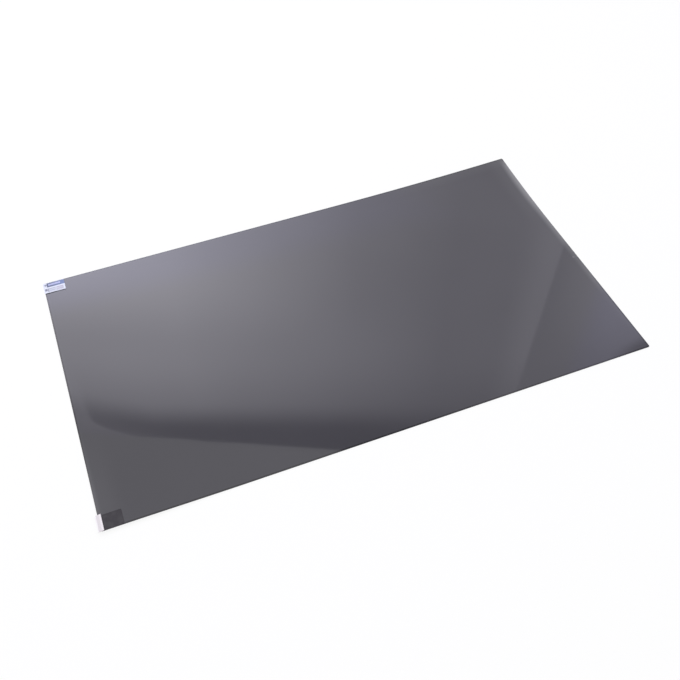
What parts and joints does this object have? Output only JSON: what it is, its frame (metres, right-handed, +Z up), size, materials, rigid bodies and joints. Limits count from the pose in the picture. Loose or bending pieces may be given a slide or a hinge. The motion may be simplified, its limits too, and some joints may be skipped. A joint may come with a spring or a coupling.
{
  "type": "monitor privacy filter",
  "caption": "Thin dark glossy privacy film sheet for a widescreen monitor, lying flat with one corner curled up, with a printed corner label and a tape pull tab with a paper grip.",
  "frame": {"origin": "middle of the sheet's rear face, on the surface that it lies on", "axes": "+X along the sheet's long edge, away from the tabs; +Y towards the edge with the printed label; +Z up, out of the front face"},
  "size_m": [0.5332, 0.299, 0.005],
  "materials": {
    "dark_film": "dark smoke-grey louvre film with a glossy face, a faint lavender cast in its reflections",
    "printed_label": "white sticker with a blue printed band and faint grey bars",
    "smoke_tape": "dark smoke-tinted tape, a little duller than the film",
    "white_paper": "matt white folded strip"
  },
  "bodies": {
    "root": {"filter_sheet": "dark_film", "corner_label": "printed_label", "pull_tab_tape": "smoke_tape", "pull_tab_grip": "white_paper"}
  },
  "joints": []
}
